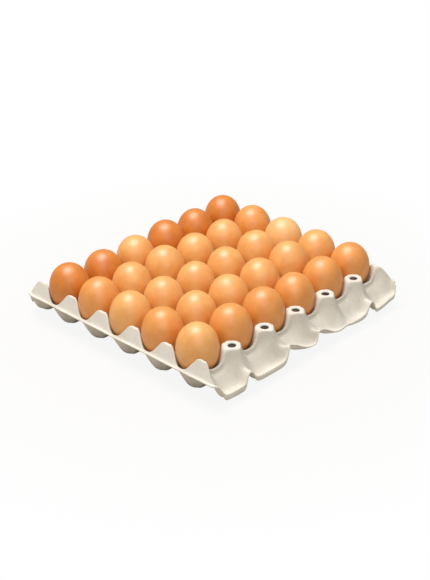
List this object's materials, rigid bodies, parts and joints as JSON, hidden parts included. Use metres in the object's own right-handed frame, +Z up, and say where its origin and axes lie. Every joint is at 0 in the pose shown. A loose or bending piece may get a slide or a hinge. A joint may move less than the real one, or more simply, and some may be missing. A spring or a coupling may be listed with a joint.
{
  "type": "egg tray with eggs",
  "caption": "Square tray of moulded paper pulp with brown eggs standing in its cups, hollow posts with small holes between them, straight rims at two ends and scalloped rims at the others.",
  "frame": {"origin": "on the ground under the middle of the tray", "axes": "+Z up; +X along the six-egg rows, from one straight rim to the other; +Y along the five-egg columns, from one scalloped rim to the other"},
  "size_m": [0.294, 0.2941, 0.0716],
  "materials": {
    "pulp": "matt moulded paper pulp with a fine felted texture",
    "shell_russet": "russet brown eggshell with a soft satin sheen and fine pores",
    "shell_amber": "amber brown eggshell with a soft satin sheen and fine pores",
    "shell_tan": "tan brown eggshell with a soft satin sheen and fine pores",
    "shell_cream": "cream brown eggshell with a soft satin sheen and fine pores"
  },
  "bodies": {
    "root": {"tray": "pulp", "egg_1_1": "shell_tan", "egg_2_1": "shell_amber", "egg_3_1": "shell_amber", "egg_4_1": "shell_amber", "egg_5_1": "shell_amber", "egg_6_1": "shell_amber", "egg_1_2": "shell_amber", "egg_2_2": "shell_amber", "egg_3_2": "shell_tan", "egg_4_2": "shell_tan", "egg_5_2": "shell_tan", "egg_6_2": "shell_tan", "egg_1_3": "shell_tan", "egg_2_3": "shell_tan", "egg_3_3": "shell_amber", "egg_4_3": "shell_tan", "egg_5_3": "shell_amber", "egg_6_3": "shell_cream", "egg_1_4": "shell_tan", "egg_2_4": "shell_tan", "egg_3_4": "shell_tan", "egg_4_4": "shell_tan", "egg_5_4": "shell_tan", "egg_6_4": "shell_amber", "egg_1_5": "shell_russet", "egg_2_5": "shell_russet", "egg_3_5": "shell_tan", "egg_4_5": "shell_russet", "egg_5_5": "shell_amber", "egg_6_5": "shell_russet"}
  },
  "joints": []
}
